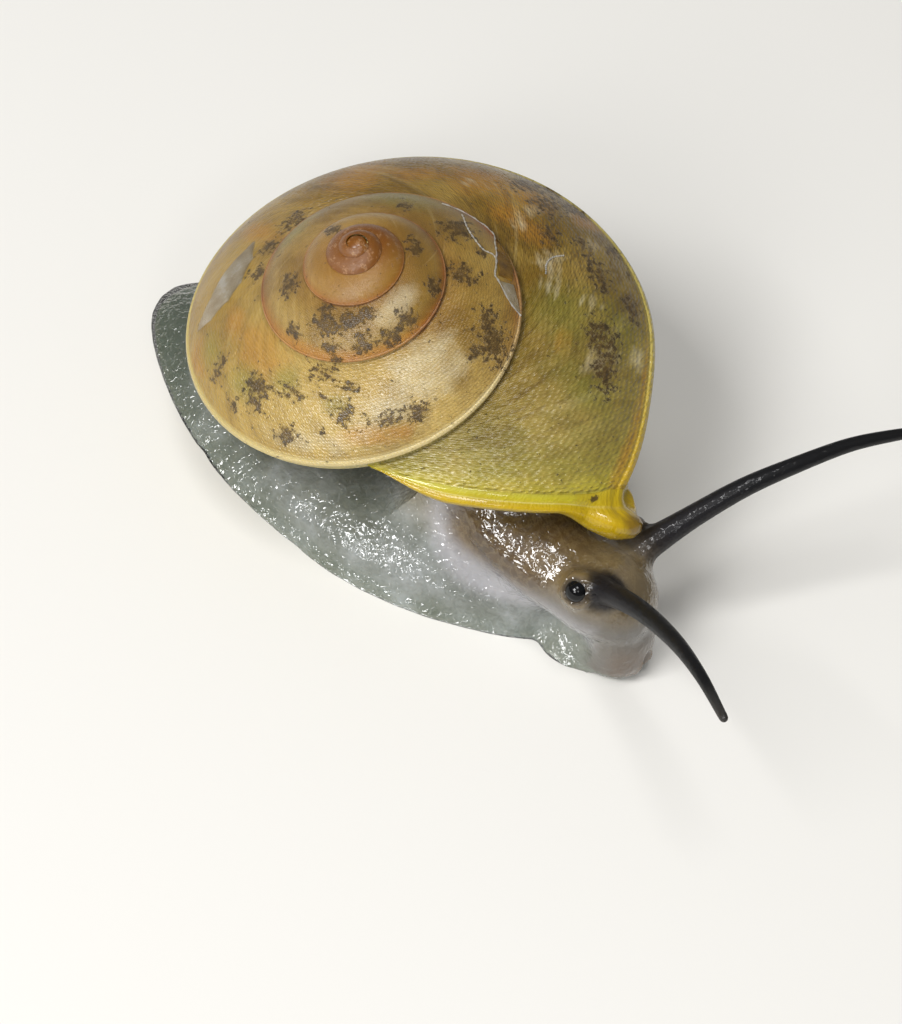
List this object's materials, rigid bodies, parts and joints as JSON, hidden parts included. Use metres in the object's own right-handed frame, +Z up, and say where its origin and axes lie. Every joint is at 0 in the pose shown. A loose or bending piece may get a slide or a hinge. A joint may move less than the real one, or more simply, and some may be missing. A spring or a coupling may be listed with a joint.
{
  "type": "keeled, beaked helicina land snail, crawling",
  "caption": "Small tropical land snail with a low keeled shell, thick yellow beaked lip, horny lid on its tail and long dark tentacles, crawling on a flat sole.",
  "frame": {"origin": "on the ground below the middle of the snail's box, tentacles included", "axes": "+X the way the snail crawls, +Y to its left, +Z up from the ground it crawls on"},
  "size_m": [0.0276, 0.0174, 0.0112],
  "materials": {
    "shell": "silky, a little translucent",
    "lip": "glossy",
    "operculum": "horny, satin",
    "foot_skin": "wet",
    "head_skin": "wet",
    "tentacle_skin": "wet",
    "eye": "glossy"
  },
  "bodies": {
    "root": {"shell_spire": "shell", "shell_body_whorl": "shell", "shell_lip": "lip", "operculum": "operculum", "foot_tail": "foot_skin", "foot_middle": "foot_skin", "foot_front": "foot_skin", "mantle": "head_skin", "neck": "head_skin", "head": "head_skin", "snout": "head_skin", "tentacle_right_base": "tentacle_skin", "tentacle_right_middle": "tentacle_skin", "tentacle_right_tip": "tentacle_skin", "tentacle_left_base": "tentacle_skin", "tentacle_left_middle": "tentacle_skin", "tentacle_left_tip": "tentacle_skin", "eye_right": "eye", "eye_left": "eye"}
  },
  "joints": []
}
